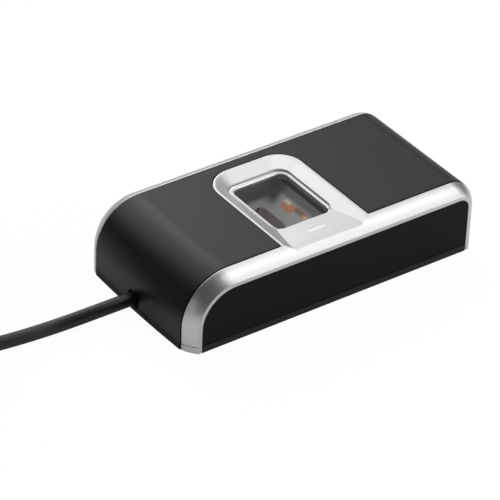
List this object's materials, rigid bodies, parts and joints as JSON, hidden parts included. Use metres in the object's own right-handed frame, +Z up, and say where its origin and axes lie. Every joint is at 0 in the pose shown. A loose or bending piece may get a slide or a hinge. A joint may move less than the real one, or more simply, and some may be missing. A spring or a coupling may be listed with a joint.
{
  "type": "fingerprint scanner terminal",
  "caption": "Desktop optical fingerprint scanner: low rounded body, dark cover between two silver bands, dished finger guide with a glass window, and a captive USB lead.",
  "frame": {"origin": "centre of the footprint of the body, on the plane that the rubber feet stand on", "axes": "+X along the body from the cable end to the nose, +Y across it away from the finger, +Z up"},
  "size_m": [0.2152, 0.078, 0.0214],
  "materials": {
    "cover_black": "satin moulded ABS, fine spark texture",
    "panel_black": "smooth moulded ABS with a soft gloss",
    "base_black": "matt moulded ABS",
    "silver_paint": "silver-grey painted ABS, satin",
    "bright_frame": "polished plated plastic",
    "foot_rubber": "matt rubber",
    "optical_glass": "polished optical glass",
    "gasket_foam": "thin closed-cell foam",
    "inner_black": "matt black inner moulding",
    "mirror_glass": "front-silvered glass",
    "diffuser_white": "frosted acrylic, grey in ambient light",
    "led_body": "clear amber LED packages",
    "copper_board": "amber polyimide light board",
    "green_board": "glass-epoxy board with solder mask",
    "chip_black": "moulded epoxy with tinned legs",
    "metal_can": "nickel plated can",
    "ceramic": "ceramic chip parts with tinned ends",
    "nylon_white": "moulded nylon",
    "wire_insulation": "coloured insulated wires",
    "flex_amber": "polyimide film cable",
    "light_pipe": "milky acrylic",
    "screw_steel": "zinc plated steel",
    "cable_pvc": "soft PVC jacket, satin black",
    "plug_steel": "folded nickel plated steel",
    "contact_gold": "gold flashed contacts"
  },
  "bodies": {
    "root": {"bottom_cover": "base_black", "rubber_feet": "foot_rubber", "upper_case": "silver_paint", "top_cover": "cover_black", "side_panel_near": "panel_black", "side_panel_far": "panel_black", "window_frame": "bright_frame", "prism": "optical_glass", "prism_gasket": "gasket_foam", "optics_housing": "inner_black", "fold_mirror": "mirror_glass", "diffuser_plate": "diffuser_white", "illumination_leds": "led_body", "light_board": "copper_board", "lens_barrel": "inner_black", "lens_elements": "optical_glass", "lens_holder": "inner_black", "sensor_board": "green_board", "image_sensor": "chip_black", "main_board": "green_board", "controller_chip": "chip_black", "memory_chip": "chip_black", "crystal": "metal_can", "small_parts": "ceramic", "board_connector": "nylon_white", "wire_plug": "nylon_white", "internal_wires": "wire_insulation", "flex_cable": "flex_amber", "flex_connectors": "nylon_white", "indicator_light_pipe": "light_pipe", "indicator_board": "green_board", "indicator_led": "led_body", "case_screws": "screw_steel", "board_screws": "screw_steel", "optics_screws": "screw_steel", "cable_gland": "cable_pvc", "usb_cable": "cable_pvc", "usb_cable_coil": "cable_pvc", "usb_cable_tail": "cable_pvc", "cable_tie": "base_black", "plug_overmould": "cable_pvc", "plug_shell": "plug_steel", "plug_insulator": "base_black", "plug_contacts": "contact_gold"}
  },
  "joints": []
}
